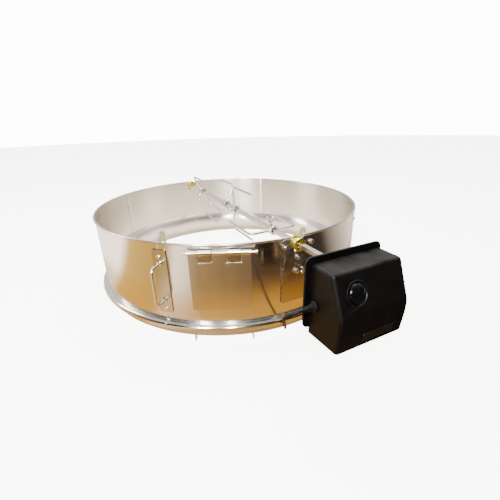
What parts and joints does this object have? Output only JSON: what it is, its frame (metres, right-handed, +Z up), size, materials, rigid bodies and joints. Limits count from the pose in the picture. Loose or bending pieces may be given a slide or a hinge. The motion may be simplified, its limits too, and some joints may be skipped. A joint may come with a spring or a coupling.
{
  "type": "kettle grill rotisserie ring kit",
  "caption": "Steel kettle-grill rotisserie ring with hinged charcoal door, wire handles, driven square spit with sliding forks, and a bracketed electric motor with mains cord.",
  "frame": {"origin": "Middle of the bounding box in plan, at the level of the table the locating tabs stand on (cord left out).", "axes": "+X along the spit towards the motor, +Z up, +Y to the left of someone looking along +X."},
  "size_m": [0.7779, 0.5964, 0.2254],
  "materials": {
    "brushed_steel": "bright brushed stainless sheet",
    "bright_steel": "bright drawn stainless wire and bar",
    "brass": "turned, slightly dull",
    "motor_plastic": "satin moulded charcoal plastic",
    "motor_plate": "satin black paint",
    "gloss_black": "glossy black",
    "cord_rubber": "satin black",
    "badge_metal": "dark plain plate"
  },
  "bodies": {
    "ring": {"backing_plate": "brushed_steel", "badge_plate": "badge_metal", "cord_coil": "cord_rubber", "cord_gland": "cord_rubber", "cord_tail": "cord_rubber", "cord_tie": "cord_rubber", "cord_tube": "cord_rubber", "door_lug_1": "brushed_steel", "door_lug_2": "brushed_steel", "door_pin": "bright_steel", "ear_bolt_1": "bright_steel", "ear_bolt_2": "bright_steel", "ear_plate": "brushed_steel", "far_ear_plate": "brushed_steel", "gear_motor": "bright_steel", "handle_1": "bright_steel", "handle_2": "bright_steel", "hanger_bolt_1": "bright_steel", "hanger_bolt_2": "bright_steel", "inner_band": "brushed_steel", "locating_tab_1": "brushed_steel", "locating_tab_2": "brushed_steel", "locating_tab_3": "brushed_steel", "locating_tab_4": "brushed_steel", "locating_tab_5": "brushed_steel", "locating_tab_6": "brushed_steel", "motor_back_plate": "motor_plate", "motor_hanger": "brushed_steel", "motor_housing": "motor_plastic", "plug_blade_1": "brass", "plug_blade_2": "brass", "plug_body": "cord_rubber", "seam_plate_1": "brushed_steel", "seam_plate_2": "brushed_steel", "seam_plate_3": "brushed_steel", "seam_plate_4": "brushed_steel", "switch_bezel": "motor_plastic", "wall_back": "brushed_steel", "wall_front": "brushed_steel", "wall_left": "brushed_steel", "wall_right": "brushed_steel"},
    "door": {"door": "brushed_steel"},
    "spit": {"spit_rod": "bright_steel", "bushing_near": "brass", "bushing_far": "brass", "drive_socket": "bright_steel", "output_gear": "brass"},
    "pinion": {"pinion": "bright_steel"},
    "button": {"switch_button": "gloss_black"},
    "fork_a": {"fork_a": "bright_steel"},
    "screw_a": {"thumbscrew_a": "bright_steel"},
    "fork_b": {"fork_b": "bright_steel"},
    "screw_b": {"thumbscrew_b": "bright_steel"},
    "fork_c": {"fork_c": "bright_steel"},
    "screw_c": {"thumbscrew_c": "bright_steel"},
    "fork_d": {"fork_d": "bright_steel"},
    "screw_d": {"thumbscrew_d": "bright_steel"}
  },
  "joints": [
    {"name": "spit_spin", "type": "hinge", "parent": "ring", "child": "spit", "pos_m": [-0.0669, 0, 0.175], "axis": [1, 0, 0], "continuous": true},
    {"name": "pinion_spin", "type": "hinge", "parent": "ring", "child": "pinion", "pos_m": [0.3351, 0, 0.1554], "axis": [1, 0, 0], "continuous": true},
    {"name": "fork_a_slide", "type": "slide", "parent": "spit", "child": "fork_a", "axis": [1, 0, 0], "range_m": [-0.085, 0.1]},
    {"name": "fork_b_slide", "type": "slide", "parent": "spit", "child": "fork_b", "axis": [1, 0, 0], "range_m": [-0.12, 0.03]},
    {"name": "fork_c_slide", "type": "slide", "parent": "spit", "child": "fork_c", "axis": [1, 0, 0], "range_m": [-0.03, 0.12]},
    {"name": "fork_d_slide", "type": "slide", "parent": "spit", "child": "fork_d", "axis": [1, 0, 0], "range_m": [-0.1, 0.05]},
    {"name": "screw_a_turn", "type": "hinge", "parent": "fork_a", "child": "screw_a", "pos_m": [-0.2424, 0, 0.175], "axis": [0, -0.8829, -0.4695], "range_deg": [0, 540]},
    {"name": "screw_b_turn", "type": "hinge", "parent": "fork_b", "child": "screw_b", "pos_m": [-0.0814, 0, 0.175], "axis": [0, 0.8829, -0.4695], "range_deg": [0, 540]},
    {"name": "screw_c_turn", "type": "hinge", "parent": "fork_c", "child": "screw_c", "pos_m": [-0.0174, 0, 0.175], "axis": [0, -1, 0], "range_deg": [0, 540]},
    {"name": "screw_d_turn", "type": "hinge", "parent": "fork_d", "child": "screw_d", "pos_m": [0.1386, 0, 0.175], "axis": [0, 0, 1], "range_deg": [0, 540]},
    {"name": "door_hinge", "type": "hinge", "parent": "ring", "child": "door", "pos_m": [0.19776, -0.12454, 0.175], "axis": [-0.4258, -0.9048, 0], "range_deg": [0, 110]},
    {"name": "button_press", "type": "slide", "parent": "ring", "child": "button", "axis": [-0.9297, 0, -0.3684], "range_m": [0, 0.003], "stiffness_N_per_m": 250, "springref_m": -0.003}
  ],
  "couplings": [
    {"joint": "pinion_spin", "follows": "spit_spin", "ratio": -2}
  ]
}
